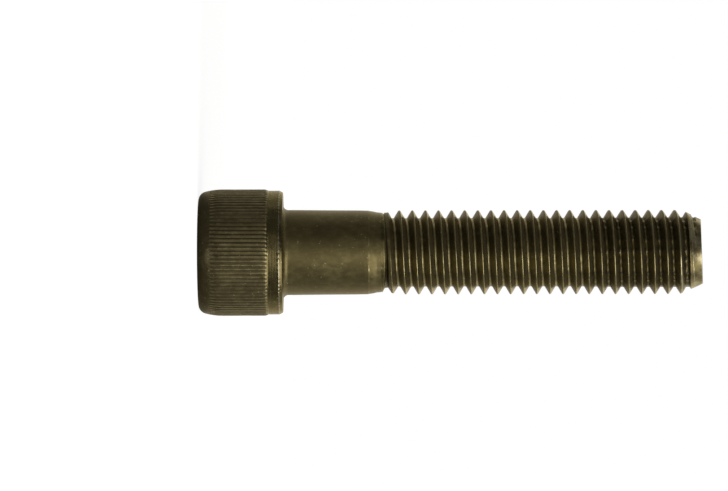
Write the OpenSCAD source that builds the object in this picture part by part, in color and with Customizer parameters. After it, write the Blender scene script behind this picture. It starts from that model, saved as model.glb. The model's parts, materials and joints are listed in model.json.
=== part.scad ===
// Hex socket cap screw with a straight-knurled head, a plain shank and a rolled right-hand thread.
// It stands on the face of its head: the face lies on z = 0, and +Z runs along the axis to the point.
// Millimetres. A length along the screw is measured from the bearing face unless it says otherwise.

/* [Head] */
// Diameter over the ridges of the knurl
head_d = 18.84; // [16.5:0.02:22]
// Height of the head, from its face to its bearing face
head_h = 12.6; // [10.5:0.1:16]
// Radius of the rounded edge of the face
face_round = 1.3; // [0.6:0.1:1.8]
// Radius of the gentle crown that leads from that edge to the full diameter
crown_round = 10; // [9:0.5:20]
// Height above the face at which the crown reaches the full diameter
crown_h = 3.6; // [2.6:0.1:5]
// Radius of the edge round the bearing face
bearing_round = 0.4; // [0.1:0.05:0.6]

/* [Knurl] */
// Number of ridges round the head
knurl_count = 94; // [72:1:110]
// Depth of the grooves between the ridges
knurl_depth = 0.16; // [0.1:0.02:0.4]
// Height of the smooth band between the knurl and the bearing face
band_h = 2.3; // [1.2:0.1:4]
// How far the smooth band lies below the ridges
band_step = 0.19; // [0.1:0.01:0.4]

/* [Socket] */
// Width of the hexagon across its flats
socket_af = 9.525; // [7:0.025:10.5]
// Depth of the hexagon's corners
socket_depth = 5.9; // [4:0.1:7]
// Slope of the socket's conical floor, from the plane of the face
floor_slope = 30; // [10:1:40]
// Diameter of the flat spot in the middle of the floor
spot_d = 3.8; // [1:0.1:5]
// How far the countersink reaches past the hexagon's corners
countersink_rim = 0.4; // [0.1:0.05:0.8]
// Slope of the countersink, from the plane of the face
countersink_slope = 30; // [15:1:50]

/* [Shank] */
// Length from the bearing face to the point
screw_l = 62.4; // [40:0.1:80]
// Diameter of the plain shank
shank_d = 12.6; // [11.5:0.05:13.5]
// Length of the plain shank
plain_l = 12.3; // [6:0.05:24]
// Length over which the shank narrows to the rolling diameter
taper_l = 2.3; // [1:0.05:4]
// Radius of the fillet between the bearing face and the shank
fillet_r = 0.8; // [0.3:0.05:1.2]

/* [Thread] */
// Distance from one thread crest to the next, thirteen to the inch
pitch = 1.954; // [1.5:0.001:2.2]
// Width of the flat on each crest
crest_w = 0.22; // [0.1:0.01:0.4]
// Width of the flat in each root
root_w = 0.38; // [0.15:0.01:0.5]
// Angle between the two flanks of a thread
flank_angle = 60; // [55:1:65]
// How far the crests lie below the plain shank
crest_drop = 0.035; // [0:0.005:0.15]
// How far the rolling diameter lies below the crests, on the radius
blank_drop = 0.36; // [0.25:0.01:0.5]
// Length over which the first roots deepen
root_run = 0.9; // [0.6:0.1:2]
// Length over which the first crests rise
crest_run = 2.2; // [0.8:0.1:3]
// Turn of the thread about the axis, in degrees
thread_turn = 338; // [0:1:360]
// Most triangles that the thread may have
thread_facets = 10400; // [6000:100:11500]

/* [Point] */
// How far the rim of the end face lies inside the roots
point_drop = 0.35; // [0.1:0.05:1]
// Slope of the point, from the axis
point_slope = 25; // [20:1:45]

/* [Hidden] */

steel = "#453f2e";
round_steps = 6;
crown_steps = 4;
spare = 1;

head_r = head_d / 2;
band_r = head_r - band_step;
shank_r = shank_d / 2;
crest_r = shank_r - crest_drop;
blank_r = crest_r - blank_drop;

// The flanks' length along the axis, and so the depth of the thread, is what the two flats leave.
flank_w = (pitch - crest_w - root_w) / 2;
root_r = crest_r - flank_w / tan(flank_angle / 2);

tip_z = head_h + screw_l;
point_r = root_r - point_drop;
taper_z = head_h + plain_l;
blank_z = taper_z + taper_l;
taper_rate = (shank_r - blank_r) / taper_l;

// The shank's cone ends inside the thread, before the first root begins to deepen.
tuck = 0.2;
run_z = blank_z + tuck;

socket_corner_r = socket_af / 2 / cos(30);
spot_r = spot_d / 2;
floor_h = (socket_corner_r - spot_r) * tan(floor_slope);
countersink_r = socket_corner_r + countersink_rim;

function smooth(t) = let (u = min(max(t, 0), 1)) u * u * (3 - 2 * u);

// Points on an arc about (x, y), from one angle to another, both ends included
function arc(x, y, r, from, to, steps) =
    [for (i = [0 : steps]) let (a = from + (to - from) * i / steps) [x + r * cos(a), y + r * sin(a)]];

// Half section of the head: the small arc of the face's edge runs tangent into the large arc of the
// crown, which ends upright at the full diameter.
function head_section() =
    let (
        crown_x = head_r - crown_round,
        drop = crown_h - face_round,
        edge_x = crown_x + sqrt(pow(crown_round - face_round, 2) - drop * drop),
        meet = -atan2(drop, edge_x - crown_x),
        knurl_z = head_h - band_h - band_step
    )
    concat(
        [[0, 0]],
        arc(edge_x, face_round, face_round, -90, meet, round_steps),
        [for (i = [1 : crown_steps]) arc(crown_x, crown_h, crown_round, meet, 0, crown_steps)[i]],
        [[head_r, knurl_z], [band_r, head_h - band_h]],
        arc(band_r - bearing_round, head_h - bearing_round, bearing_round, 0, 90, round_steps),
        [[0, head_h]]
    );

module head_blank() {
    rotate_extrude($fn = 96)
        polygon(head_section());
}

// Everything outside a ring of pointed ridges. The ridges' tips stand just proud of the head, so
// that a narrow land of the head's own surface stays on each of them.
module knurl_cutter() {
    groove_r = head_r - knurl_depth;
    ridge_r = head_r + 0.03;
    step = 360 / knurl_count;
    ring = [for (i = [0 : knurl_count - 1], side = [0, 1])
        let (a = (i + side / 2) * step, r = side == 0 ? groove_r : ridge_r)
        [r * cos(a), r * sin(a)]];
    translate([0, 0, -spare])
        linear_extrude(height = head_h - band_h - band_step / 2 + spare)
            difference() {
                circle(r = head_r + spare, $fn = 96);
                polygon(ring);
            }
}

// The hexagon is closed by a conical floor that leaves a scalloped edge on each of its walls.
module socket_cutter() {
    cone_x = socket_corner_r + spare;
    cone_z = socket_depth - spare * tan(floor_slope);
    bottom_z = socket_depth + floor_h;
    intersection() {
        translate([0, 0, -spare])
            rotate(30)
                cylinder(h = bottom_z + 2 * spare, r = socket_corner_r, $fn = 6);
        rotate_extrude($fn = 96)
            polygon([[0, -spare], [cone_x, -spare], [cone_x, cone_z], [spot_r, bottom_z], [0, bottom_z]]);
    }
    rotate_extrude($fn = 96)
        polygon([
            [0, -spare],
            [countersink_r + spare / tan(countersink_slope), -spare],
            [0, countersink_r * tan(countersink_slope)]
        ]);
}

module head() {
    difference() {
        head_blank();
        knurl_cutter();
        socket_cutter();
    }
}

// Half section of the shank, from inside the head to its end inside the thread
function shank_section() =
    let (seat = head_h - spare, root = head_h + fillet_r)
    concat(
        [[0, seat], [shank_r + fillet_r, seat], [shank_r + fillet_r, head_h]],
        [for (i = [1 : round_steps]) arc(shank_r + fillet_r, root, fillet_r, 270, 180, round_steps)[i]],
        [
            [shank_r, taper_z],
            [blank_r - tuck / 2 * taper_rate, blank_z + tuck / 2],
            [0, blank_z + tuck / 2]
        ]
    );

module shank() {
    rotate_extrude($fn = 96)
        polygon(shank_section());
}

// Radius of the thread at height z: crests rise above the rolling diameter and roots sink below it
// as the thread leaves the shank.
function crest_at(z) = blank_r + (crest_r - blank_r) * smooth((z - run_z) / crest_run);
function root_at(z) = blank_r + (root_r - blank_r) * smooth((z - run_z) / root_run);

// One strip wound round the axis. Each step of it holds four points, the two edges of the crest and
// the two edges of the root, and its last edge meets the first edge of the next turn. Both ends are
// closed by a fan of triangles about the axis: the lower one lies inside the shank, and the upper one
// beyond the end face.
module thread_strip() {
    low_z = blank_z - 1.25 * pitch;
    high_z = tip_z + 0.1 * pitch;
    turns = (high_z - low_z) / pitch + 1;
    steps = min(48, floor(thread_facets / (8 * turns)));
    last = ceil(turns * steps);
    offsets = [0, crest_w, crest_w + flank_w, crest_w + flank_w + root_w];

    points = [for (n = [0 : last], p = [0 : 3])
        let (
            a = 360 * n / steps,
            z = low_z + pitch * n / steps + offsets[p],
            r = p < 2 ? crest_at(z) : root_at(z)
        )
        [r * cos(a), r * sin(a), z]];
    low_axis = len(points);
    high_axis = low_axis + 1;
    ends = [[0, 0, low_z + pitch / 2], [0, 0, high_z + pitch / 2]];

    sides = [for (n = [0 : last - 1], p = [0 : 3])
        let (
            here = 4 * n + p,
            above = p < 3 ? here + 1 : 4 * (n + steps)
        )
        if (p < 3 || n + steps < last)
            each [[here, above, above + 4], [here, above + 4, here + 4]]];
    low_rim = concat([for (n = [0 : steps]) 4 * n], [3, 2, 1, 0]);
    high_rim = concat(
        [for (n = [last - steps : last]) 4 * n + 3],
        [for (p = [2 : -1 : 0]) 4 * last + p],
        [4 * (last - steps) + 3]
    );
    low_fan = [for (i = [0 : len(low_rim) - 2]) [low_axis, low_rim[i], low_rim[i + 1]]];
    high_fan = [for (i = [0 : len(high_rim) - 2]) [high_axis, high_rim[i + 1], high_rim[i]]];

    rotate(thread_turn)
        polyhedron(points = concat(points, ends), faces = concat(sides, low_fan, high_fan));
}

// The chamfered point is the cone that the strip is cut back to.
module point_cone() {
    wide_r = shank_r + spare;
    low_z = blank_z - 3 * pitch;
    rotate_extrude($fn = 96)
        polygon([
            [0, low_z],
            [wide_r, low_z],
            [wide_r, tip_z - (wide_r - point_r) / tan(point_slope)],
            [point_r, tip_z],
            [0, tip_z]
        ]);
}

module thread() {
    intersection() {
        thread_strip();
        point_cone();
    }
}

module cap_screw() {
    color(steel)
        union() {
            head();
            shank();
            thread();
        }
}

cap_screw();
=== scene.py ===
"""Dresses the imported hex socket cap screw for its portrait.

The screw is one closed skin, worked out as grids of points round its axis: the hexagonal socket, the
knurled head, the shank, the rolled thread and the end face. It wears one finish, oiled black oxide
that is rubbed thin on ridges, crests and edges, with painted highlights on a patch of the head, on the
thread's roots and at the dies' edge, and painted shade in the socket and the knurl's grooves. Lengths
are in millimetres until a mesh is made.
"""

import json
import logging
import math
from dataclasses import dataclass
from enum import Enum, IntEnum
from typing import Callable, Sequence, Union

import bpy
import numpy as np
from mathutils import Matrix, Vector


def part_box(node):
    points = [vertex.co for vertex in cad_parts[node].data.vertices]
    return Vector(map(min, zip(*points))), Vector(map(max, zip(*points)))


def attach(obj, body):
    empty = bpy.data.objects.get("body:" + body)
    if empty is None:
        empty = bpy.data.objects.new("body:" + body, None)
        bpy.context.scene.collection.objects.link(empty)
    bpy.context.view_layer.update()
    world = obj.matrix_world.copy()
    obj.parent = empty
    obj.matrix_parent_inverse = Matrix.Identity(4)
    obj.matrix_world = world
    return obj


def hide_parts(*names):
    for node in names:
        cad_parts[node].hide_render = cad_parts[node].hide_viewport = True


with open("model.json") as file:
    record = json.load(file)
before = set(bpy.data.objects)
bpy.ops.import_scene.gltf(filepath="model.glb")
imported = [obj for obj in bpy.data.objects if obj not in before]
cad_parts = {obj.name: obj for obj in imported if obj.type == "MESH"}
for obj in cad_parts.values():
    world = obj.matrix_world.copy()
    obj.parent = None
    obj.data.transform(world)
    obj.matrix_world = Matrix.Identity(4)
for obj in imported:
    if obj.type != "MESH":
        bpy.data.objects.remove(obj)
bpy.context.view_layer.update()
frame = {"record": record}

log = logging.getLogger("cap_screw")

MM = 0.001
FULL_TURN = 2.0 * math.pi
SEED = 13

# An irregular wave is a sum of this many sines, divided so that it stays within about 1.
SINES = 9
SINES_PEAK = 4.0

Grid = np.ndarray
Pair = tuple[float, float]
Triple = tuple[float, float, float]
Colour = Triple


class Mark(Enum):
    """What a point of the skin remembers about its place, each a float attribute from 0 to 1."""

    # Worn edges, ridges and crests, and also painted highlights: the head's patch, the roots and the
    # dies' edge.
    WEAR_AND_GLINT = "worn"
    TURNED = "turned"
    ROLLED = "rolled"
    # Painted shade in recesses: deeper in the socket and in the knurl's grooves.
    RECESS_SHADE = "hollow"


Marks = dict[Mark, Grid]


class Wave(IntEnum):
    """The irregular waves on the skin. Each is drawn from SEED plus its number."""

    DENTS = 1
    BAND_EDGES = 2
    TAPER_RING = 3
    ROLLING = 4
    CONE = 5
    END_FACE = 6
    BEADS = 7
    NICKS = 8
    CONE_WEAR = 9


def rise(low: float, high: float, value: Grid) -> Grid:
    """Rises smoothly from 0 at low to 1 at high, or falls if low lies above high."""
    t = np.clip((np.asarray(value, dtype=float) - low) / (high - low), 0.0, 1.0)
    return t * t * (3.0 - 2.0 * t)


def soft_min(first: Grid, second: Grid, blend: float) -> Grid:
    """The smaller of two values, with a parabola as wide as blend where they cross."""
    near = np.clip(0.5 + 0.5 * (second - first) / blend, 0.0, 1.0)
    return second + (first - second) * near - blend * near * (1.0 - near)


def soft_max(first: Grid, second: Grid, blend: float) -> Grid:
    """The larger of two values, rounded as soft_min rounds the smaller."""
    return -soft_min(-np.asarray(first), -np.asarray(second), blend)


def arc(centre: Pair, radius: float, start: float, end: float, steps: int) -> Grid:
    """Points (distance from the axis, height) of a circle, between two angles in degrees that are
    taken from the outward direction towards the point of the screw."""
    angle = np.radians(np.linspace(start, end, steps + 1))
    return np.column_stack((centre[0] + radius * np.cos(angle), centre[1] + radius * np.sin(angle)))


def ripple(turn: Grid, height: Grid, waves: int, reach: float, kind: Wave) -> Grid:
    """A small irregular wave over the skin: a sum of sines, each with whole waves round the axis.

    Args:
        turn: Angle about the axis, in radians.
        height: Height along the axis.
        waves: Most waves round the axis.
        reach: Largest wave number along the axis, in radians a millimetre.
        kind: Picks the sines.

    Returns:
        A value of about -1 to 1 at each point.
    """
    chance = np.random.default_rng(SEED + kind)
    total = np.zeros(np.broadcast(turn, height).shape)
    for _ in range(SINES):
        round_waves = int(chance.integers(1, waves + 1))
        total += np.sin(round_waves * turn + chance.uniform(-reach, reach) * height
                        + chance.uniform(0.0, FULL_TURN))
    return total / SINES_PEAK


def add_object(name: str, data: bpy.types.ID) -> bpy.types.Object:
    """Makes an object of a mesh, lamp or camera and links it to the scene."""
    made = bpy.data.objects.new(name, data)
    bpy.context.scene.collection.objects.link(made)
    return made


class Patch:
    """A grid of points on the skin: rows run along the half section, columns run round the axis.

    The columns go anticlockwise seen from the point of the screw, and the rows lead from the middle
    of the socket over the outside to the middle of the end face, so that the faces point outwards.
    """

    def __init__(self, radius: Grid, height: Grid, turn: Grid, marks: Marks, lead: int = 0) -> None:
        """Places a point (radius cos turn, radius sin turn, height) for each row and column.

        Args:
            radius: Distance from the axis, rows by columns.
            height: Height above the face of the head, rows by columns.
            turn: Angle of each column, in radians.
            marks: Values that broadcast to rows by columns. They are kept within 0 and 1.
            lead: Rows by which the grid has risen after one turn, for a thread.
        """
        spread = np.broadcast_arrays(radius * np.cos(turn), radius * np.sin(turn), height)
        self.points = np.stack(spread, axis=-1)
        self.marks = {kind: np.broadcast_to(np.clip(value, 0.0, 1.0), spread[0].shape)
                      for kind, value in marks.items()}
        self.lead = lead

    def triangles(self) -> Grid:
        """Two triangles for each cell. The last column joins the first, lead rows further on."""
        rows, columns = self.points.shape[:2]
        row, column = np.meshgrid(np.arange(rows - 1), np.arange(columns), indexing="ij")
        wraps = column == columns - 1
        here = row * columns + column
        beside = np.where(wraps, (row + self.lead) * columns, here + 1)
        keep = beside + columns < rows * columns
        here, beside = here[keep], beside[keep]
        lower = np.stack((here, beside, beside + columns), axis=-1)
        upper = np.stack((here, beside + columns, here + columns), axis=-1)
        return np.concatenate((lower, upper))


class Skin:
    """Gathers patches into one closed surface and makes its mesh. Points that round to the same
    multiple of WELD, in millimetres, are one."""

    WELD = 2e-4

    def __init__(self) -> None:
        """Starts with no points."""
        self.points: list[Grid] = []
        self.marks: dict[Mark, list[Grid]] = {kind: [] for kind in Mark}
        self.triangles: list[Grid] = []
        self.count = 0

    def _keep(self, points: Grid, triangles: Grid, marks: Marks) -> None:
        """Adds points and the triangles between them.

        Args:
            points: One row of (x, y, z) for each point.
            triangles: Indices into these points.
            marks: Values for each point.
        """
        self.points.append(points)
        self.triangles.append(triangles + self.count)
        for kind in Mark:
            self.marks[kind].append(marks.get(kind, np.zeros(len(points))))
        self.count += len(points)

    def add(self, patch: Patch) -> None:
        """Adds a patch."""
        marks = {kind: value.reshape(-1) for kind, value in patch.marks.items()}
        self._keep(patch.points.reshape(-1, 3), patch.triangles(), marks)

    def join(self, fine: Grid, coarse: Grid, outwards: bool, marks: dict[Mark, float]) -> None:
        """Closes the flat ring between two rims that have different numbers of points.

        Each step of the fine rim makes a triangle with the coarse point before it, and wherever
        the coarse point changes, one more triangle fills the gap.

        Args:
            fine: Points of the rim that has more of them.
            coarse: Points of the other rim, the first of them beside the first fine point.
            outwards: True if the rows of the skin run from the coarse rim to the fine one.
            marks: A value for the whole ring.
        """
        many, few = len(fine), len(coarse)
        step = np.arange(many)
        after = (step + 1) % many
        near = (step * few) // many
        near_after = np.where(step + 1 == many, 0, ((step + 1) * few) // many)
        changed = near_after != near
        edge = np.stack((step, after, near + many), axis=-1)
        gap = np.stack((after, near_after + many, near + many), axis=-1)[changed]
        triangles = np.concatenate((edge, gap))
        if outwards:
            triangles = triangles[:, ::-1]
        level = {kind: np.full(many + few, value) for kind, value in marks.items()}
        self._keep(np.concatenate((fine, coarse)), triangles, level)

    def weld(self) -> tuple[Grid, Grid, Marks]:
        """Merges points that share a place and drops the triangles that this flattens.

        Returns:
            The points, the triangles, and each mark's value for each point.
        """
        points = np.concatenate(self.points)
        _, first, own = np.unique(np.round(points / self.WELD).astype(np.int64), axis=0,
                                  return_index=True, return_inverse=True)
        triangles = own.reshape(-1)[np.concatenate(self.triangles)]
        a, b, c = triangles.T
        triangles = triangles[(a != b) & (b != c) & (c != a)]
        used, renamed = np.unique(triangles, return_inverse=True)
        marks = {kind: np.concatenate(value)[first][used] for kind, value in self.marks.items()}
        return points[first][used], renamed.reshape(-1, 3), marks

    @staticmethod
    def normals(points: Grid, triangles: Grid) -> Grid:
        """Normals at the points: the sum of the triangles' cross products, so that large flat faces
        outweigh the narrow roundings beside them.

        Args:
            points: The points.
            triangles: Three indices each.

        Returns:
            A unit vector for each point.
        """
        a, b, c = (points[triangles[:, corner]] for corner in range(3))
        faces = np.cross(b - a, c - a)
        total = np.zeros_like(points)
        for corner in range(3):
            for axis in range(3):
                total[:, axis] += np.bincount(triangles[:, corner], faces[:, axis], len(points))
        return total / np.maximum(np.linalg.norm(total, axis=1, keepdims=True), 1e-12)

    def make(self, name: str) -> bpy.types.Object:
        """Makes the mesh and its object, with the marks as attributes.

        Args:
            name: Name of the object and of its mesh.

        Returns:
            The new object, linked to the scene, at the origin.
        """
        points, triangles, marks = self.weld()
        mesh = bpy.data.meshes.new(name)
        mesh.from_pydata(points * MM, [], triangles)
        for kind, value in marks.items():
            mesh.attributes.new(kind.value, "FLOAT", "POINT").data.foreach_set("value", value)
        mesh.shade_smooth()
        mesh.normals_split_custom_set_from_vertices(self.normals(points, triangles))
        mesh.update()
        return add_object(name, mesh)


@dataclass(frozen=True)
class ScrewSizes:
    """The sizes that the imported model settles, in millimetres.

    Attributes:
        head_r: Radius over the ridges of the knurl.
        head_h: Height of the head, from its face to its bearing face.
        length: Height of the whole screw.
        shank_r: Radius of the plain shank.
        plain_start: Height at which the fillet under the head ends.
        plain_end: Height at which the plain shank ends.
    """

    head_r: float
    head_h: float
    length: float
    shank_r: float
    plain_start: float
    plain_end: float

    @classmethod
    def from_frame(cls, node: str, record: dict) -> "ScrewSizes":
        """Reads the sizes off the node's box and the record's mounts.

        Args:
            node: Name of the screw's CAD node.
            record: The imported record.

        Returns:
            The sizes.
        """
        low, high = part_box(node)
        mounts = {mount["name"]: mount for mount in record["mounts"]}
        shank = mounts["shank"]
        middle, half = shank["pos_m"][2] / MM, shank["dims"]["length_mm"] / 2.0
        return cls(
            head_r=max(high[0] - low[0], high[1] - low[1]) / 2.0 / MM,
            head_h=mounts["bearing_face"]["pos_m"][2] / MM,
            length=(high[2] - low[2]) / MM,
            shank_r=shank["dims"]["r_mm"],
            plain_start=middle - half,
            plain_end=middle + half,
        )


@dataclass
class Part:
    """A part of the screw.

    Attributes:
        sizes: The sizes that the frame settles.
    """

    sizes: ScrewSizes


@dataclass
class Socket:
    """The hexagonal socket with its countersink and the inner half of the head's face.

    Attributes:
        across_flats: Width of the hexagon.
        depth: Depth of the hexagon's corners.
        floor_slope: Slope of the conical floor, in degrees from the plane of the face.
        spot_r: Radius of the flat spot in the middle of the floor.
        corner_ease: How far the corners of the hexagon are rounded back.
        rim_reach: How far the countersink reaches past the corners.
        rim_slope: Slope of the countersink, in degrees from the plane of the face.
        outer_r: Radius at which the head takes the face over.
        columns: Points round the axis, a multiple of six.
    """

    across_flats: float = 9.525
    depth: float = 5.9
    floor_slope: float = 30.0
    spot_r: float = 1.9
    corner_ease: float = 0.12
    rim_reach: float = 0.4
    rim_slope: float = 30.0
    outer_r: float = 6.9
    columns: int = 282

    @property
    def corner_r(self) -> float:
        """Radius of the hexagon's corners."""
        return self.across_flats / 2.0 / math.cos(FULL_TURN / 12.0)

    def wall(self, turn: Grid) -> Grid:
        """Radius of the hexagon's wall: half the width across flats over the cosine of the angle
        from the nearest flat's middle, eased at the corners.

        Args:
            turn: Angle about the axis, in radians.

        Returns:
            The radius at each angle.
        """
        sixth = FULL_TURN / 6.0
        off = np.mod(turn + sixth / 2.0, sixth) - sixth / 2.0
        wall = self.across_flats / 2.0 / np.cos(off)
        corner = np.full_like(wall, self.corner_r - self.corner_ease / 2.0)
        return soft_min(wall, corner, self.corner_ease)

    def patch(self) -> Patch:
        """Rows from the middle of the floor, up the wall, over the countersink to the face."""
        turn = (np.arange(self.columns) + 0.5) * FULL_TURN / self.columns
        wall = self.wall(turn)
        corner_r = self.corner_r
        rim_r = corner_r + self.rim_reach
        floor_rise = math.tan(math.radians(self.floor_slope))
        rim_rise = math.tan(math.radians(self.rim_slope))

        spot = self.spot_r * np.array([0.0, 0.4, 0.75, 0.95])[:, None] + 0.0 * turn
        along_floor = np.array([0.0, 0.04, 0.2, 0.45, 0.7, 0.9, 0.975])[:, None]
        floor_r = self.spot_r + (wall - self.spot_r) * along_floor
        slope_r = np.concatenate((np.full_like(spot, self.spot_r), floor_r))
        floor_z = self.depth + (corner_r - slope_r) * floor_rise

        up = np.array([0.012, 0.04, 0.12, 0.25, 0.42, 0.6, 0.78, 0.9, 0.965, 0.99])[:, None]
        foot, lip = self.depth + (corner_r - wall) * floor_rise, (rim_r - wall) * rim_rise
        wall_z = foot + (lip - foot) * up
        wall_r = wall + 0.0 * up

        out = np.array([0.06, 0.2, 0.45, 0.72, 0.92])[:, None]
        sink_r = wall + (rim_r - wall) * out
        sink_z = (rim_r - sink_r) * rim_rise
        face_r = np.array([rim_r + 0.03, rim_r + 0.12, rim_r + 0.4, self.outer_r])[:, None] + 0.0 * turn

        radius = np.concatenate((spot, floor_r, wall_r, sink_r, face_r))
        height = np.concatenate((floor_z, wall_z, sink_z, np.zeros_like(face_r)))
        worn = rise(0.5, 0.06, np.abs(radius - rim_r)) * rise(1.2, 0.0, height)
        lip_worn = rise(0.25, 0.02, np.abs(height - lip)) * rise(1.5, 0.8, height)
        # Painted shade: the skin darkens the deeper it lies in the socket.
        hollow = rise(0.0, 3.0, height)
        marks = {Mark.WEAR_AND_GLINT: np.maximum(worn, lip_worn) * 0.8, Mark.RECESS_SHADE: hollow}
        return Patch(radius, height, turn, marks)


@dataclass
class Head(Part):
    """The outside of the head: face, rounded edge, crown, knurl, smooth band and bearing face.

    Attributes:
        inner_r: Radius at which the face begins.
        edge_r: Radius of the rounding between face and crown.
        crown_r: Radius of the crown.
        crown_h: Height at which the crown reaches the full radius.
        ridges: Number of ridges round the head.
        groove: Depth of the grooves.
        band_h: Height of the smooth band.
        band_step: How far the band lies below the ridges.
        lip: Width and height of the small chamfer at the bearing face.
        seat_r: Radius at which the fillet under the head takes over.
        per_ridge: Columns for each ridge.
        knurl_z: Heights between which the ridges begin.
        rubbed: Angle in degrees and height of a patch at the start of the knurl where a highlight is
            painted in bright metal colour.
        glint_size: Half its width in degrees, and half its height.
    """

    inner_r: float = 7.0
    edge_r: float = 1.3
    crown_r: float = 10.0
    crown_h: float = 3.6
    ridges: int = 94
    groove: float = 0.1
    band_h: float = 2.3
    band_step: float = 0.19
    lip: Pair = (0.2, 0.55)
    seat_r: float = 7.6
    per_ridge: int = 6
    knurl_z: Pair = (1.7, 1.95)
    rubbed: Pair = (-86.0, 1.95)
    glint_size: Pair = (11.0, 1.0)

    @property
    def knurl_end(self) -> float:
        """Height at which the knurl gives way to the smooth band."""
        return self.sizes.head_h - self.band_h - self.band_step

    def section(self) -> Grid:
        """Half section without the knurl: the edge's arc runs tangent into the crown's, which ends
        upright, and a short slope leads down to the band."""
        full, top = self.sizes.head_r, self.sizes.head_h
        band_r, crown_x, drop = full - self.band_step, full - self.crown_r, self.crown_h - self.edge_r
        edge_x = crown_x + math.sqrt((self.crown_r - self.edge_r) ** 2 - drop ** 2)
        meet = -math.degrees(math.atan2(drop, edge_x - crown_x))
        step_z, (lip_w, lip_h) = self.knurl_end, self.lip
        face = [(r, 0.0) for r in (self.inner_r, 7.3, 7.6, edge_x - 0.03)]
        straight = [(full, z) for z in np.linspace(self.crown_h + 0.5, step_z - 0.7, 9)]
        slope = [(full - self.band_step * t ** 3, step_z - 0.43 + 0.75 * t)
                 for t in (0.0, 0.25, 0.5, 0.7, 0.85, 0.95, 1.0)]
        band = [(band_r, z) for z in (step_z + 0.42, step_z + 0.9, top - 1.0, top - lip_h - 0.14)]
        bead = [(band_r + 0.012, top - lip_h - 0.05), (band_r + 0.004, top - lip_h),
                (band_r - 0.03, top - lip_h + 0.06)]
        chamfer = [(band_r - 0.05, top - lip_h + 0.14), (band_r - lip_w + 0.05, top - 0.26)]
        corner = arc((band_r - lip_w - 0.2, top - 0.22), 0.22, 25.0, 90.0, 4)
        seat = [(r, top) for r in (8.55, 8.1, self.seat_r)]
        return np.concatenate((face, arc((edge_x, self.edge_r), self.edge_r, -90.0, meet, 7),
                               arc((crown_x, self.crown_h), self.crown_r, meet, 0.0, 11)[1:],
                               straight, slope, band, bead, chamfer, corner, seat))

    def patch(self) -> Patch:
        """The section turned round the axis, less the knurl: across one ridge the cut is the depth
        times one less a power of a half sine."""
        columns = self.ridges * self.per_ridge
        turn = np.arange(columns) * FULL_TURN / columns
        section = self.section()
        plain_r, height = section[:, :1], section[:, 1:]
        top, knurl_end = self.sizes.head_h, self.knurl_end

        chance = np.random.default_rng(SEED)
        ridge = (np.arange(columns) + self.per_ridge // 2) // self.per_ridge % self.ridges
        depth = self.groove * (1.0 + 0.12 * chance.uniform(-1.0, 1.0, self.ridges)[ridge])
        across = np.sin(math.pi * np.mod(np.arange(columns) / self.per_ridge, 1.0)) ** 0.75
        in_knurl = rise(*self.knurl_z, height) * rise(knurl_end + 0.3, knurl_end, height)
        dents = 0.02 * (ripple(turn, height, 23, 2.0, Wave.DENTS) > 0.75) * across
        radius = plain_r - (depth * (1.0 - across) + dents) * in_knurl
        shoulder = rise(0.2, 0.0, np.abs(height - knurl_end - 0.05))
        nicks = rise(-0.1, 0.4, ripple(turn, height, 19, 1.5, Wave.NICKS))
        chamfer = rise(0.32, 0.12, np.abs(height - top + 0.3)) * nicks
        bead = rise(0.2, 0.02, np.abs(height - (top - self.lip[1])))
        ragged = shoulder * 0.025 + bead * 0.025
        radius = radius + ragged * ripple(turn, height, 90, 1.0, Wave.BAND_EDGES)

        ridge_worn = in_knurl * rise(0.7, 1.0, across)
        start_worn = ridge_worn * rise(0.5, 0.1, np.abs(height - 2.1))
        worn = np.maximum(0.6 * ridge_worn + 0.25 * start_worn, 0.8 * shoulder)
        worn = np.maximum(worn, np.maximum(0.75 * bead, 0.45 * chamfer))
        # Painted highlight: a patch of bright metal colour at one angle of the knurl's start, standing
        # in for a glint.
        (glint_turn, glint_z), (glint_w, glint_h) = self.rubbed, self.glint_size
        aside = np.mod(np.degrees(turn) - glint_turn + 180.0, 360.0) - 180.0
        glint_spot = np.exp(-np.square(aside / glint_w) - np.square((height - glint_z) / glint_h))
        worn = np.maximum(worn, glint_spot * (1.0 - in_knurl * (1.0 - across)))
        # Painted shade in the knurl's grooves.
        groove_shade = in_knurl * rise(0.03, 0.08, plain_r - radius)
        turned = rise(knurl_end, knurl_end + 0.25, height)
        return Patch(radius, height, turn, {
            Mark.WEAR_AND_GLINT: worn, Mark.TURNED: turned, Mark.RECESS_SHADE: groove_shade,
            Mark.ROLLED: 0.4 * (1.0 - turned)})


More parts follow.
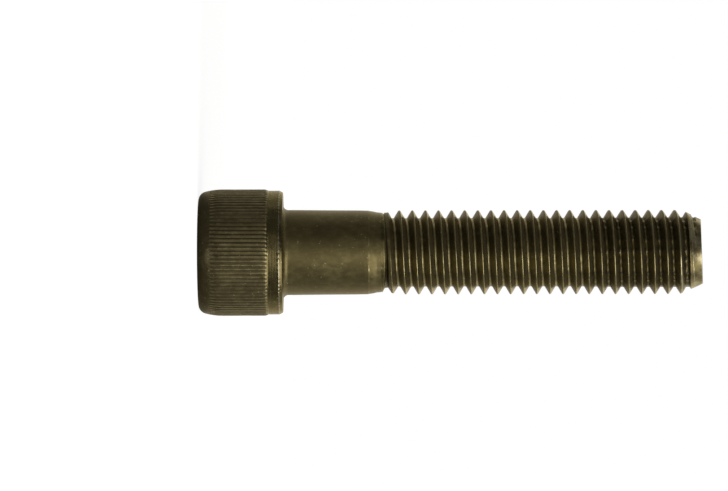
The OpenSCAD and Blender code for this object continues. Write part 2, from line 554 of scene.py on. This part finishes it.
@dataclass
class Shank(Part):
    """Fillet, plain shank, taper and rolling diameter, up to the first turn of the thread.

    Attributes:
        blank_r: Radius before the thread is rolled.
        fillet_r: Radius of the fillet under the head.
        ease: How much wider the shank is near the head than at its taper.
        taper_l: Length of the taper.
        ring_at: How far into the taper its crisp edge lies.
        shine: How far the taper looks freshly turned, from 0 to 1.
        columns: Points round the axis.
    """

    blank_r: float = 5.9
    fillet_r: float = 0.8
    ease: float = 0.045
    taper_l: float = 2.3
    ring_at: float = 0.46
    shine: float = 0.12
    columns: int = 188

    # Places past the end of the plain shank, and how much narrower the screw is there.
    TAPER = ((-1.5, 0.03), (-0.4, 0.05), (0.1, 0.06), (0.42, 0.075), (0.5, 0.1), (1.1, 0.19),
             (1.6, 0.31), (2.0, 0.35))

    @property
    def end(self) -> float:
        """Height at which the taper ends."""
        return self.sizes.plain_end + self.taper_l

    def radius_at(self, height: Grid) -> Grid:
        """Radius of the turned surface: a slightly conical shank, a soft start of the taper, a crisp
        edge in it, and a hollow run into the rolling diameter.

        Args:
            height: Height above the face of the head.

        Returns:
            The radius at each height.
        """
        start, stop, full = self.sizes.plain_start, self.sizes.plain_end, self.sizes.shank_r
        places, drops = np.array(self.TAPER).T
        heights = [start, start + 2.0, start + 5.0, *(stop + places), self.end, self.end + 0.4]
        radii = [full + self.ease, full + self.ease - 0.015, full - 0.005, *(full - drops),
                 self.blank_r + 0.02, self.blank_r]
        return np.interp(height, heights, radii)

    def patch(self, turn: Grid, seat_r: float, last: float) -> Patch:
        """The section turned round the axis.

        Args:
            turn: Angle of each column.
            seat_r: Radius at which the bearing face of the head ends.
            last: Height at which the thread takes over, in the last part of the taper.

        Returns:
            The patch from the bearing face to the thread.
        """
        top, start, stop = self.sizes.head_h, self.sizes.plain_start, self.sizes.plain_end
        foot_r = self.sizes.shank_r + self.ease + self.fillet_r
        seat = np.array([(seat_r - 0.1, top), (foot_r + 0.02, top)])
        fillet = arc((foot_r, top + self.fillet_r), self.fillet_r, 270.0, 180.0, 9)
        heights = np.concatenate((
            start + np.array([0.15, 0.8, 2.0, 4.0, 6.5, 9.0]),
            stop + np.array([-1.5, -0.8, -0.4, -0.15, 0.1, 0.3, 0.42, self.ring_at, 0.5, 0.62, 0.85, 1.1,
                             1.35, 1.6, 1.8]),
            [last]))
        section = np.concatenate((seat, fillet, np.column_stack((self.radius_at(heights), heights))))
        radius, height = section[:, :1], section[:, 1:]
        edge = stop + self.ring_at
        uneven = 0.6 + 0.4 * ripple(turn, height, 40, 1.0, Wave.TAPER_RING)
        ring = rise(0.14, 0.0, np.abs(height - edge)) * uneven
        foot = rise(0.75, 0.35, np.abs(height - (top + 0.45))) * 0.35
        turned = self.shine * rise(edge - 0.1, edge + 0.1, height)
        marks = {Mark.WEAR_AND_GLINT: np.maximum(ring, foot), Mark.TURNED: turned}
        return Patch(radius, height, turn, marks)


@dataclass
class Thread(Part):
    """The rolled right-hand thread, from the rolling diameter to the rim of the end face.

    Attributes:
        shank: The shank below it.
        pitch: Distance from crest to crest, thirteen to the inch.
        crest_r: Radius of the crests.
        crest_w: Width of the flat on a crest.
        root_w: Width of the flat in a root.
        flank: Half the angle between two flanks, in degrees.
        crest_z: Height of a crest where it passes over -X.
        die_z: Height at which the rolling dies begin.
        die_lean: How far the dies' edge leans up and down.
        first_rows: Heights above the dies' edge between which the thread becomes regular.
        first_lift: How much shallower the first groove is.
        first_bite: How far that groove cuts into the first crest.
        crest_run: Length over which the first crests rise.
        crest_round: Width of the rounding at the crests' edges.
        root_round: The same at the roots' edges.
        root_bow: How far the flat of a root is bowed.
        uneven: How uneven the rolled crests and roots are.
        bead_h: Height of the waves in the roots near the point.
        bead_waves: Number of them in one turn.
        bead_z: Heights between which they set in.
        glint_side: How far the crests' worn line, which also paints their highlight, lies to the point's
            side of the
        crest, in pitches.
        winding_z: Heights between which the rows follow the helix. Below and above they are level.
        level_row: Distance between the level rows.
        point_r: Radius of the rim of the end face.
        point_slope: Slope of the point, in degrees from the axis.
        point_shift: How far the point lies off the axis, along X and along Y.
    """

    shank: Shank
    pitch: float = 1.954
    crest_r: float = 6.265
    crest_w: float = 0.22
    root_w: float = 0.38
    flank: float = 30.0
    crest_z: float = 29.89
    die_z: float = 27.37
    die_lean: float = 0.42
    first_rows: Pair = (0.5, 1.3)
    first_lift: float = 0.2
    first_bite: float = 0.15
    crest_run: float = 2.8
    crest_round: float = 0.13
    root_round: float = 0.06
    root_bow: float = 0.04
    uneven: float = 0.012
    bead_h: float = 0.085
    bead_waves: int = 19
    bead_z: Pair = (56.0, 62.0)
    glint_side: float = 0.045
    winding_z: Pair = (28.3, 72.1)
    level_row: float = 0.085
    point_r: float = 4.78
    point_slope: float = 25.0
    point_shift: Pair = (-0.08, 0.08)

    # Rows in one turn of the helix, in pitches from the crest.
    ROWS = (-0.5, -0.45, -0.395, -0.075, -0.04, 0.0, 0.04, 0.075, 0.395, 0.45)

    @property
    def start(self) -> float:
        """Height at which the thread's rows begin, below the dies' edge all the way round."""
        return self.die_z - self.die_lean - 0.03

    @property
    def root_r(self) -> float:
        """Radius of the roots: what the flanks leave between the two flats."""
        run = (self.pitch - self.crest_w - self.root_w) / 2.0
        return self.crest_r - run / math.tan(math.radians(self.flank))

    def from_crest(self, turn: Grid, height: Grid) -> Grid:
        """Distance along the axis to the nearest crest, in pitches from -0.5 to 0.5."""
        turns = (height - self.crest_z) / self.pitch - (turn - math.pi) / FULL_TURN
        return np.mod(turns + 0.5, 1.0) - 0.5

    def rolled(self, turn: Grid, height: Grid) -> Grid:
        """Height above the dies' edge, which leans a little: it lies highest over -Y."""
        return height - self.die_z + self.die_lean * np.sin(turn)

    def radius_at(self, turn: Grid, height: Grid) -> Grid:
        """Radius of the thread: the flanks' slope between crest and root with both edges rounded,
        limited by the crest that rises from the blank, and cut by the cone of the point. Below the
        dies' edge it fades into the turned blank.

        Args:
            turn: Angle about the axis, in radians.
            height: Height above the face of the head.

        Returns:
            The radius at each point.
        """
        rolled = self.rolled(turn, height)
        off = self.from_crest(turn, height) * self.pitch
        first = rise(*reversed(self.first_rows), rolled)
        off = np.abs(off) + self.first_bite * (off < 0.0) * first
        uneven = self.uneven * ripple(turn, height, 31, 3.0, Wave.ROLLING)
        blank_r = self.shank.radius_at(height)
        lift = self.first_lift * first
        slope = self.crest_r + lift - (off - self.crest_w / 2.0) / math.tan(math.radians(self.flank))
        crest = self.crest_at(turn, height) + uneven
        bow = self.root_bow * np.square(np.minimum((self.pitch - 2.0 * off) / self.root_w, 1.0))
        root = self.root_r + lift + bow + uneven + self.bead_h * self.beads(turn, height)
        thread = soft_max(soft_min(slope, crest, self.crest_round), root, self.root_round)
        thread = blank_r + (thread - blank_r) * rise(0.0, 0.14, rolled)
        return soft_min(thread, self.cone_at(turn, height), 0.05)

    def beads(self, turn: Grid, height: Grid) -> Grid:
        """Small waves in the roots near the point, which the dies left in each turn alike: a sine of
        bead_waves round the axis, with a ripple over it."""
        wave = np.sin(self.bead_waves * turn + 1.0) + 0.5 * ripple(turn, height, 29, 0.3, Wave.BEADS)
        return wave * rise(*self.bead_z, height)

    def crest_at(self, turn: Grid, height: Grid) -> Grid:
        """Radius that a crest may reach: above the dies' edge it rises from the blank's radius."""
        blank_r = self.shank.radius_at(height)
        risen = rise(0.2, self.crest_run, self.rolled(turn, height))
        return blank_r + (self.crest_r - blank_r) * risen

    def cone_at(self, turn: Grid, height: Grid) -> Grid:
        """Radius of the point's cone: the end rim's radius about its shifted centre plus the rise of a
        slope that starts there, with a small wave that dies out at the rim."""
        below = self.sizes.length - height
        wave = ripple(turn, height, 9, 0.8, Wave.CONE) * rise(0.0, 0.8, below)
        aside, away = self.point_shift
        centre_r = self.point_r + aside * np.cos(turn) + away * np.sin(turn)
        return centre_r + below * math.tan(math.radians(self.point_slope)) + 0.03 * wave

    def dressed(self, turn: Grid, height: Grid, lead: int = 0) -> Patch:
        """Turns a grid of heights into skin and marks its crests, roots, flanks and turned faces.

        Args:
            turn: Angle of each column.
            height: Height of each point.
            lead: Rows that the grid rises by in one turn.

        Returns:
            The patch.
        """
        radius = self.radius_at(turn, height)
        rolled = self.rolled(turn, height)
        on_cone = rise(0.12, 0.0, self.cone_at(turn, height) - radius)
        # The crests' worn line, shifted by glint_side to the shoulder where their highlight falls: wear
        # and painted highlight.
        crest = rise(0.06, 0.03, np.abs(self.from_crest(turn, height) - self.glint_side))
        crest = crest * rise(0.3, 1.2, rolled)
        # A bright line at the dies' edge: painted highlight.
        ring = rise(0.1, 0.0, np.abs(rolled + 0.02))
        cone_edge = 4.0 * on_cone * (1.0 - on_cone)
        rim_edge = rise(0.25, 0.05, self.sizes.length - height)
        cone_worn = on_cone * (0.55 + 0.25 * ripple(turn, height, 14, 2.0, Wave.CONE_WEAR))
        worn = np.maximum(crest * 0.8, ring * 0.7)
        worn = np.maximum(worn, cone_worn + cone_edge * 0.4 + rim_edge * 0.3)
        top_r = self.crest_at(turn, height)
        flank = rise(top_r - 0.02, top_r - 0.1, radius)
        flank = flank * rise(0.0, 0.2, rolled) * (1.0 - on_cone)
        root = rise(self.root_r + 0.1, self.root_r + 0.03, radius) * (1.0 - on_cone)
        past_taper = rise(-0.1, 0.0, height - self.shank.end)
        shine = self.shank.shine + (1.0 - self.shank.shine) * past_taper
        turned = np.maximum(shine * rise(0.0, -0.1, rolled), 0.45 * on_cone)
        # Painted highlight along the roots: bright metal colour, broken into dashes where the beads dip.
        dull = rise(*self.bead_z, height) * rise(0.8, -0.2, self.beads(turn, height))
        root_glint = root * (0.65 - 0.6 * dull)
        return Patch(radius, height, turn, {
            Mark.WEAR_AND_GLINT: np.maximum(worn, root_glint), Mark.TURNED: turned,
            Mark.ROLLED: flank * (1.0 - root)}, lead)

    def level(self, turn: Grid, low: float, high: float) -> Patch:
        """Level rows, for the dies' edge and the point's cone, which a helical grid would miss."""
        rows = math.ceil((high - low) / self.level_row)
        return self.dressed(turn, np.linspace(low, high, rows + 1)[:, None] + 0.0 * turn)

    def winding(self, turn: Grid) -> Patch:
        """Rows that follow the helix, so that each crest and root has rows of its own. They are held
        back to the two rims, where the weld closes them."""
        low, high = self.winding_z
        first = math.floor((low - self.crest_z) / self.pitch) - 2
        turns = math.ceil((high - low) / self.pitch) + 5
        line = (first + np.arange(turns)[:, None] + np.array(self.ROWS)[None, :]).reshape(-1, 1)
        height = self.crest_z + self.pitch * (line + (turn - math.pi) / FULL_TURN)
        return self.dressed(turn, np.clip(height, low, high), len(self.ROWS))

    def patches(self, turn: Grid) -> list[Patch]:
        """The three parts of the thread, from the shank to the end face."""
        low, high = self.winding_z
        return [self.level(turn, self.start, low), self.winding(turn),
                self.level(turn, high, self.sizes.length)]


@dataclass
class EndFace(Part):
    """The sheared end of the screw, slightly out of square and uneven.

    Attributes:
        lean: Slope of the face along X and along Y, in degrees.
        reach: Length over which the lean fades out down the point.
    """

    lean: Pair = (1.9, 4.0)
    reach: float = 2.6

    def patch(self, turn: Grid, rim_r: Grid) -> Patch:
        """Rings from the rim of the thread to the middle.

        Args:
            turn: Angle of each column.
            rim_r: Radius of the thread's rim at each column.

        Returns:
            The patch. Its middle lies a little hollow.
        """
        share = np.array([1.0, 0.985, 0.95, 0.85, 0.7, 0.5, 0.3, 0.12, 0.0])[:, None]
        radius = rim_r * share
        uneven = 0.035 * ripple(turn, radius, 5, 1.6, Wave.END_FACE)
        uneven = uneven * rise(1.0, 0.8, share) * rise(0.0, 0.2, share)
        height = self.sizes.length - 0.05 * rise(1.0, 0.9, share) + uneven
        worn = rise(0.9, 1.0, share) * 0.6
        return Patch(radius, height, turn, {Mark.WEAR_AND_GLINT: worn})

    def shear(self, skin: Skin) -> None:
        """Leans the end: each point rises by x and y times the tangents of the two slopes, which fade
        out along the axis.

        Args:
            skin: The skin, whose points are moved.
        """
        slope = np.tan(np.radians(self.lean))
        for points in skin.points:
            near = rise(self.sizes.length - self.reach, self.sizes.length - 0.3, points[:, 2])
            points[:, 2] += points[:, :2] @ slope * near


Operand = Union["Socketed", float]
Input = Union["Socketed", float, Sequence[float]]
Inputs = dict[Union[str, int], Input]


def math_node(operation: str, flipped: bool = False) -> Callable[["Socketed", Operand], "Socketed"]:
    """Makes a method that adds a Math node.

    Args:
        operation: The node's operation.
        flipped: True if the other value is the first of the two.

    Returns:
        The method, which takes the other value and returns the node's result.
    """
    def apply(self: "Socketed", other: Operand) -> "Socketed":
        """Adds the node."""
        first, second = (other, self) if flipped else (self, other)
        return self.maker.value("Math", {0: first, 1: second}, operation=operation)

    return apply


class Socketed:
    """A shader value, wrapped so that arithmetic on it adds Math nodes."""

    __add__, __radd__ = math_node("ADD"), math_node("ADD", True)
    __sub__, __rsub__ = math_node("SUBTRACT"), math_node("SUBTRACT", True)
    __mul__, maximum = math_node("MULTIPLY"), math_node("MAXIMUM")

    def __init__(self, maker: "NodeMaker", link: bpy.types.NodeSocket) -> None:
        """Keeps the tree's maker and the output that holds the value."""
        self.maker = maker
        self.link = link

    def above(self, low: float, high: float) -> "Socketed":
        """Rises smoothly from 0 at low to 1 at high."""
        inputs = {0: self, 1: low, 2: high, 3: 0.0, 4: 1.0}
        return self.maker.value("MapRange", inputs, interpolation_type="SMOOTHSTEP")


class NodeMaker:
    """Adds nodes to the tree of a material or a world."""

    def __init__(self, owner: Union[bpy.types.Material, bpy.types.World]) -> None:
        """Gives the owner an empty tree and keeps it."""
        owner.use_nodes = True
        self.tree = owner.node_tree
        self.tree.nodes.clear()

    def node(self, kind: str, inputs: Inputs, **settings: object) -> bpy.types.Node:
        """Adds a node, sets its settings first, and then fills its sockets.

        Args:
            kind: The node's type, without the ShaderNode that it starts with.
            inputs: A number, a colour or a wrapped value for each named or numbered socket.
            **settings: Values of its properties, such as an operation.

        Returns:
            The node.
        """
        made = self.tree.nodes.new("ShaderNode" + kind)
        for name, value in settings.items():
            setattr(made, name, value)
        for name, value in inputs.items():
            if isinstance(value, Socketed):
                self.tree.links.new(value.link, made.inputs[name])
            elif isinstance(value, (int, float)):
                made.inputs[name].default_value = value
            else:
                length = len(made.inputs[name].default_value)
                made.inputs[name].default_value = (*value, 1.0)[:length]
        return made

    def value(self, kind: str, inputs: Inputs, output: Union[str, int] = 0,
              **settings: object) -> Socketed:
        """Adds a node and wraps the output of the given name or number."""
        return Socketed(self, self.node(kind, inputs, **settings).outputs[output])

    def mark(self, kind: Mark) -> Socketed:
        """The value of one of the skin's marks."""
        return self.value("Attribute", {}, "Fac", attribute_name=kind.value)

    def noise(self, scale: Triple, detail: float = 3.0, rough: float = 0.55) -> Socketed:
        """Fractal noise in the object's own coordinates.

        Args:
            scale: Features a millimetre along each axis.
            detail: Octaves.
            rough: How much each octave keeps of the one before.

        Returns:
            The noise, from 0 to 1 about 0.5.
        """
        own = self.value("TexCoord", {}, "Object")
        size = tuple(grain / MM for grain in scale)
        place = self.value("Mapping", {"Vector": own, "Scale": size}, vector_type="POINT")
        inputs = {"Vector": place, "Scale": 1.0, "Detail": detail, "Roughness": rough}
        return self.value("TexNoise", inputs, "Fac", noise_dimensions="3D")

    def blend(self, share: Operand, first: Input, second: Input) -> Socketed:
        """Mixes two colours. The share is the second one's."""
        return self.value("Mix", {0: share, 6: first, 7: second}, 2, data_type="RGBA")

    def behind(self, way: Socketed) -> Socketed:
        """The Y part of a vector: how far it leads away from the camera's side."""
        return self.value("VectorMath", {0: way, 1: (0.0, 1.0, 0.0)}, "Value", operation="DOT_PRODUCT")

    def seen_by(self) -> tuple[Socketed, Socketed]:
        """Tells rays apart: 1 for those from the camera, and 1 for those off gloss or through glass."""
        rays = self.node("LightPath", {}).outputs
        camera, gloss, through = (Socketed(self, rays[name]) for name in
                                  ("Is Camera Ray", "Is Glossy Ray", "Is Transmission Ray"))
        return camera, gloss.maximum(through)

    def surface(self, kind: str, inputs: Inputs, output: str = "OutputMaterial") -> None:
        """Adds the shader, and the output node that takes it."""
        shader, end = self.node(kind, inputs), self.node(output, {})
        self.tree.links.new(shader.outputs[0], end.inputs["Surface"])


@dataclass(frozen=True)
class BlackOxide:
    """Oiled black oxide on forged, turned and rolled steel.

    Attributes:
        deep: Colour of the oxide where it is thick and oily.
        plain: Its usual colour.
        pale: Its colour where it is thin or dusty.
        oiled: Its colour on rolled faces, which hold the oil, and the painted shade in hollows.
        bare: Colour of the edges that are rubbed through, and of the painted highlights on the head's
            patch,
        the roots and the dies' edge.
        cut: Colour of turned edges that are rubbed through.
        tint: Tint of its shine at a low angle.
        metal: How far it shines as bare metal does.
        rough: Roughness of the plain oxide.
    """

    deep: Colour = (0.082, 0.066, 0.027)
    plain: Colour = (0.120, 0.099, 0.041)
    pale: Colour = (0.185, 0.158, 0.076)
    oiled: Colour = (0.045, 0.039, 0.025)
    bare: Colour = (0.44, 0.38, 0.20)
    cut: Colour = (0.40, 0.375, 0.29)
    tint: Colour = (1.0, 0.90, 0.70)
    metal: float = 0.8
    rough: float = 0.38

    def material(self, name: str) -> bpy.types.Material:
        """Builds the finish as nodes.

        Args:
            name: Name of the material.

        Returns:
            The material.
        """
        made = bpy.data.materials.new(name)
        maker = NodeMaker(made)
        worn, turned = maker.mark(Mark.WEAR_AND_GLINT), maker.mark(Mark.TURNED)
        rolled, hollow = maker.mark(Mark.ROLLED), maker.mark(Mark.RECESS_SHADE)

        clouds = maker.noise((0.22, 0.22, 0.16), 3.0)
        blotches = maker.noise((1.1, 1.1, 0.8), 4.0, 0.6)
        grain = maker.noise((4.5, 4.5, 4.0), 3.0, 0.6)
        specks = maker.noise((3.2, 3.2, 3.2), 1.0)
        rings = maker.noise((0.25, 0.25, 7.0), 3.0, 0.6)

        tone = clouds * 0.5 + blotches * 0.5
        colour = maker.blend(tone.above(0.34, 0.66), self.deep, self.plain)
        colour = maker.blend(tone.above(0.5, 0.78) * 0.7, colour, self.pale)
        colour = maker.blend(rings.above(0.45, 0.7) * turned * 0.35, colour, self.pale)
        # Oiled colour on rolled faces, and painted shade in recesses.
        colour = maker.blend((rolled * 0.65).maximum(hollow * 0.7), colour, self.oiled)
        # Rubbed metal: real wear on edges, ridges and crests, plus the painted highlights on the head's
        # patch, the roots and the dies' edge.
        rubbed = (worn * (0.25 + blotches * 0.7 + grain * 0.55)).above(0.3, 0.95)
        colour = maker.blend(rubbed * 0.85, colour, maker.blend(turned, self.bare, self.cut))
        colour = maker.blend(specks.above(0.70, 0.78) * 0.6, colour, self.bare)

        bright = turned.maximum(rubbed).maximum(rolled * 0.2)
        rough = self.rough + (grain - 0.5) * 0.22 + (blotches - 0.5) * 0.18
        rough = rough - bright * 0.12 - rubbed * 0.08
        metal = self.metal + rubbed.maximum(turned) * (1 - self.metal)

        height = (grain * 0.35 + blotches * 0.6) * (1 - rolled * 0.6)
        height = height + specks.above(0.68, 0.8) * 0.5 + rings * turned * 0.8
        relief = {"Strength": 0.35, "Distance": 0.05 * MM, "Height": height}
        maker.surface("BsdfPrincipled", {
            "Base Color": colour, "Metallic": metal, "Roughness": rough, "Specular Tint": self.tint,
            "Normal": maker.value("Bump", relief, "Normal")})
        return made


@dataclass
class CapScrew(Part):
    """The whole screw, as one piece.

    Attributes:
        finish: What it is coated with.
        name: Name of the piece.
        node: The CAD node that it stands for.
    """

    finish: BlackOxide
    name: str = "cap_screw_body"
    node: str = "cap_screw"

    def skin(self) -> Skin:
        """Puts the socket, head, shank, thread and end face together."""
        skin = Skin()
        socket, head, shank = Socket().patch(), Head(self.sizes), Shank(self.sizes)
        thread, end = Thread(self.sizes, shank), EndFace(self.sizes)
        outside = head.patch()
        turn = np.arange(shank.columns) * FULL_TURN / shank.columns
        neck = shank.patch(turn, head.seat_r, thread.start)
        rim_r = thread.radius_at(turn, np.full(shank.columns, self.sizes.length))
        for patch in (socket, outside, neck, *thread.patches(turn), end.patch(turn, rim_r)):
            skin.add(patch)
        skin.join(np.roll(outside.points[0], -1, axis=0), socket.points[-1], True, {})
        skin.join(outside.points[-1], neck.points[0], False, {Mark.TURNED: 1.0})
        end.shear(skin)
        return skin

    def build(self) -> bpy.types.Object:
        """Makes the piece, dresses it and ties it to the frame."""
        piece = self.skin().make(self.name)
        slot_name = "black_oxide_steel"
        piece.data.materials.append(self.finish.material(slot_name))
        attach(piece, "root")
        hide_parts(self.node)
        return piece


@dataclass
class Portrait:
    """The camera of the main view, level with the middle of the screw, with the head at the left.

    Attributes:
        distance: From the axis of the screw, in metres.
        scale: Pixels a millimetre at the axis.
        face_at: Pixel column of the face of the head.
        axis_at: Pixel row of the axis, at the middle of the picture.
        lean: Turn of the axis in the picture, in degrees.
        picture: Width and height of the picture in pixels.
    """

    distance: float = 0.70
    scale: float = 6.709
    face_at: float = 198.7
    axis_at: float = 252.57
    lean: float = 0.085
    picture: tuple[int, int] = (728, 491)

    def build(self) -> None:
        """Makes the camera. It looks along +Y, with +Z to the right and -X up."""
        width, height = self.picture
        lens = bpy.data.cameras.new("portrait")
        lens.sensor_width = 36.0
        lens.lens = self.scale / MM * self.distance * lens.sensor_width / width
        lens.clip_start, lens.clip_end = 0.05, 10.0
        camera = add_object("portrait", lens)
        aside = -(self.axis_at - height / 2.0) / self.scale * MM
        along = (width / 2.0 - self.face_at) / self.scale * MM
        facing = Matrix(((0.0, -1.0, 0.0), (0.0, 0.0, -1.0), (1.0, 0.0, 0.0)))
        tilt = Matrix.Rotation(math.radians(-self.lean), 3, "Z")
        place = Matrix.Translation((aside, -self.distance, along))
        camera.matrix_world = place @ (facing @ tilt).to_4x4()
        bpy.context.scene.camera = camera


@dataclass
class Lamp:
    """One soft rectangular lamp.

    Attributes:
        name: Its name.
        place: Where it stands, in metres.
        size: Width and height in metres.
        light: How bright its panel is, where 1 is a white surface in full light.
        colour: Its colour.
        target: Where it points.
    """

    name: str
    place: Triple
    size: Pair
    light: float
    colour: Colour = (1.0, 0.97, 0.92)
    target: Triple = (0.0, 0.0, 0.037)

    def build(self) -> None:
        """Makes the lamp. Its power is pi times its area times its brightness."""
        away = Vector(self.place) - Vector(self.target)
        lamp = bpy.data.lights.new(self.name, "AREA")
        lamp.shape = "RECTANGLE"
        lamp.size, lamp.size_y = self.size
        lamp.energy = math.pi * self.size[0] * self.size[1] * self.light
        lamp.color = self.colour
        made = add_object(self.name, lamp)
        made.visible_camera = False
        facing = away.to_track_quat("Z", "Y").to_matrix().to_4x4()
        made.matrix_world = Matrix.Translation(self.place) @ facing


@dataclass
class Studio:
    """Floor, world and lamps.

    Attributes:
        floor_r: Radius of the floor, in metres.
        pale: Colour of the floor.
        lift: White that the floor shows the camera near the screw, over what the lamps make of it.
        whitens: Distances from the screw between which that rises to 1, in metres.
        sheen: White that it shows in reflections, over what the lamps make of it.
        back: The same, behind the screw.
        turns: Places along Y between which it changes from the one to the other, in metres.
        ambient: Light that the room sends to dull surfaces, where 1 is white.
        dim: How bright the room is in reflections, on the camera's side of the screw.
        beside: What it gains from there to its sides.
        bright: How bright it is behind the screw, without that gain.
    """

    floor_r: float = 0.9
    pale: Colour = (0.2, 0.2, 0.2)
    lift: float = 0.88
    whitens: Pair = (0.1, 0.35)
    sheen: float = 0.05
    back: float = 0.52
    turns: Pair = (-0.008, 0.012)
    ambient: float = 0.2
    dim: float = 0.12
    beside: float = 0.3
    bright: float = 0.7

    def floor(self) -> None:
        """A flat disc: rings of points at growing radii round the foot of the screw."""
        turn = np.arange(64) * FULL_TURN / 64
        share = np.linspace(0.0, 1.0, 7)[:, None] ** 2
        radius = np.flip(share, 0) * self.floor_r / MM + 0.0 * turn
        skin = Skin()
        skin.add(Patch(radius, np.zeros_like(radius), turn, {}))
        floor = skin.make("floor")
        made = bpy.data.materials.new("floor_paper")
        maker = NodeMaker(made)
        camera, gloss = maker.seen_by()
        own = maker.value("TexCoord", {}, "Object")
        far = maker.value("VectorMath", {0: own}, "Value", operation="LENGTH").above(*self.whitens)
        white = self.lift + far * (1 - self.lift)
        shine = self.sheen + maker.behind(own).above(*self.turns) * (self.back - self.sheen)
        mottle = maker.noise((0.02, 0.02, 0.02), 2.0)
        shade = maker.blend(mottle, tuple(0.97 * c for c in self.pale), self.pale)
        maker.surface("BsdfPrincipled", {
            "Base Color": shade, "Roughness": 0.9, "Specular IOR Level": 0.0,
            "Emission Color": (1.0, 1.0, 1.0), "Emission Strength": camera * white + gloss * shine})
        floor.data.materials.append(made)

    def world(self) -> None:
        """White for the camera, and in reflections white behind the screw and dim before it. Dull
        surfaces get a plain grey room."""
        world = bpy.data.worlds.new("room")
        bpy.context.scene.world = world
        maker = NodeMaker(world)
        camera, gloss = maker.seen_by()
        back = maker.behind(maker.value("TexCoord", {}, "Generated"))
        room = self.dim + back.above(-0.4, 0.4) * self.beside
        room = room + back.above(0.3, 0.85) * (self.bright - self.dim)
        strength = camera + (1 - camera) * (self.ambient + gloss * (room - self.ambient))
        maker.surface("Background", {"Color": (1.0, 1.0, 1.0), "Strength": strength}, "OutputWorld")

    def lamps(self) -> None:
        """A large soft key above, a small lamp beside the camera, two soft panels that fill the left and
        the right, and two pale ones at the side."""
        for lamp in (
            Lamp("key", (0.46, -0.55, 0.62), (0.85, 0.80), 3.1),
            Lamp("front", (0.16, -0.70, 0.15), (0.48, 0.29), 1.5),
            Lamp("fill", (0.33, -0.64, 0.32), (0.85, 0.60), 0.45),
            Lamp("left", (-0.24, -0.66, 0.15), (0.30, 0.28), 0.56),
            Lamp("far", (0.70, -0.12, 0.28), (0.50, 0.50), 0.3),
            Lamp("side", (0.74, 0.43, 0.45), (0.70, 1.00), 0.35),
        ):
            lamp.build()

    def build(self) -> None:
        """Builds the room."""
        self.floor()
        self.world()
        self.lamps()
        bpy.context.scene.view_settings.view_transform = "Standard"


def main() -> None:
    """Builds the camera, the screw and the room, and logs the screw's points and faces."""
    logging.basicConfig(level=logging.INFO, format="%(name)s: %(message)s")
    Portrait().build()
    sizes = ScrewSizes.from_frame("cap_screw", frame["record"])
    screw = CapScrew(sizes, BlackOxide()).build()
    log.info("%s: %d points, %d faces", screw.name, len(screw.data.vertices), len(screw.data.polygons))
    Studio().build()


if __name__ == "__main__":
    main()
